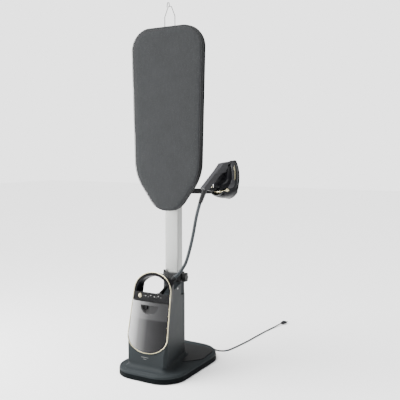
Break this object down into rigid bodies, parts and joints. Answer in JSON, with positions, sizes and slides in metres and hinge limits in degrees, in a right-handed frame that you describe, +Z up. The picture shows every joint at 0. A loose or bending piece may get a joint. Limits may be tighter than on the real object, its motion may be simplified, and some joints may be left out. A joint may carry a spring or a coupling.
{
  "type": "upright ironing stand with docked steam iron",
  "caption": "Upright ironing stand: weighted base with steam unit and water tank, telescopic pole, tilting padded board, and a steam iron on a hose in its dock",
  "frame": {"origin": "on the floor under the pole's axis", "axes": "+Z up, -Y is the front with the water tank and the board's face, +X is the side the iron docks on"},
  "size_m": [0.568, 1.2471, 1.7958],
  "materials": {
    "grey_shell": "satin slate grey moulded plastic",
    "black_plastic": "fine matt texture",
    "gloss_black": "polished",
    "dock_plastic": "satin charcoal",
    "iron_grey": "soft satin",
    "champagne_trim": "brushed champagne",
    "pole_aluminium": "anodised, brushed along its length",
    "steel": "plain",
    "sole_metal": "polished, steam holes",
    "hanger_steel": "bright wire",
    "smoked_tank": "smoked, glossy",
    "light_lens": "clear",
    "white_bush": "natural",
    "circuit_board": "lacquered",
    "rubber_foot": "matt",
    "cord_rubber": "satin",
    "hose_sleeve_fabric": "braided sleeve",
    "board_back": "satin",
    "board_foam": "felt and foam",
    "board_fabric": "heather grey plain weave"
  },
  "bodies": {
    "root": {"bottom_plate": "black_plastic", "feet": "rubber_foot", "skirt": "black_plastic", "base_shell": "grey_shell", "rear_deck": "black_plastic", "tower_shell": "grey_shell", "tank_bay": "black_plastic", "trim_ring": "champagne_trim", "control_panel": "gloss_black", "indicator_lights": "light_lens", "control_board": "circuit_board", "carry_handle": "black_plastic", "boiler": "steel", "pump": "black_plastic", "steam_pipe": "rubber_foot", "hose_gland": "black_plastic", "guide_tube": "steel", "collar": "black_plastic", "upper_bush": "white_bush", "clamp_screw": "steel", "hose_clip": "black_plastic", "cord_hook": "black_plastic", "steam_hose": "hose_sleeve_fabric", "mains_gland": "cord_rubber", "cord_run_in": "cord_rubber", "cord_coil": "cord_rubber", "cord_run_out": "cord_rubber", "cord_tie": "cord_rubber", "plug": "cord_rubber"},
    "power_button": {"power_button": "champagne_trim"},
    "tank": {"tank_shell": "smoked_tank", "tank_cap": "black_plastic", "tank_valve": "white_bush"},
    "tank_latch": {"tank_latch": "black_plastic"},
    "clamp_lever": {"clamp_lever": "black_plastic"},
    "pole": {"pole_tube": "pole_aluminium", "pole_foot": "white_bush", "pole_head": "black_plastic", "hinge_pin": "steel", "dock_bracket": "black_plastic", "dock_arm": "black_plastic", "dock_cradle": "dock_plastic"},
    "board": {"board_bracket": "steel", "bracket_screws": "steel", "board_tray": "board_back", "board_pad": "board_foam", "board_cover": "board_fabric", "hanger_sockets": "black_plastic"},
    "tilt_lever": {"tilt_lever": "black_plastic"},
    "hanger": {"hanger_wire": "hanger_steel"},
    "iron": {"soleplate": "sole_metal", "heat_guard": "dock_plastic", "steam_chamber": "sole_metal", "iron_body": "iron_grey", "heel_band": "champagne_trim", "heel_cap": "dock_plastic", "handle_shell": "iron_grey", "rear_strut": "gloss_black", "hose_sleeve": "black_plastic"},
    "trigger": {"trigger": "gloss_black"}
  },
  "joints": [
    {"name": "button_press", "type": "slide", "parent": "root", "child": "power_button", "axis": [0, 0.9785, -0.2062], "range_m": [0, 0.0015], "stiffness_N_per_m": 400},
    {"name": "tank_pull", "type": "slide", "parent": "root", "child": "tank", "axis": [0, -0.9785, 0.2062], "range_m": [0, 0.13]},
    {"name": "latch_lift", "type": "slide", "parent": "tank", "child": "tank_latch", "axis": [0, 0.2062, 0.9785], "range_m": [0, 0.0025], "stiffness_N_per_m": 400},
    {"name": "clamp_turn", "type": "hinge", "parent": "root", "child": "clamp_lever", "pos_m": [0.07, 0.002, 0.447], "axis": [-1, 0, 0], "range_deg": [0, 90]},
    {"name": "pole_height", "type": "slide", "parent": "root", "child": "pole", "axis": [0, 0, -1], "range_m": [0, 0.23], "deforming": ["steam_hose"]},
    {"name": "board_tilt", "type": "hinge", "parent": "pole", "child": "board", "pos_m": [0, 0.002, 1.12], "axis": [-1, 0, 0], "range_deg": [0, 90]},
    {"name": "tilt_release", "type": "hinge", "parent": "pole", "child": "tilt_lever", "pos_m": [0.026, 0.002, 1.12], "axis": [-1, 0, 0], "range_deg": [0, 20], "stiffness_Nm_per_rad": 0.6},
    {"name": "hanger_drop", "type": "slide", "parent": "board", "child": "hanger", "axis": [0, 0, -1], "range_m": [0, 0.042]},
    {"name": "iron_lift", "type": "slide", "parent": "pole", "child": "iron", "axis": [0.1094, 0.2346, 0.9659], "range_m": [0, 0.035]},
    {"name": "trigger_pull", "type": "slide", "parent": "iron", "child": "trigger", "axis": [-0.4082, -0.8754, 0.2588], "range_m": [0, 0.0025], "stiffness_N_per_m": 400}
  ]
}
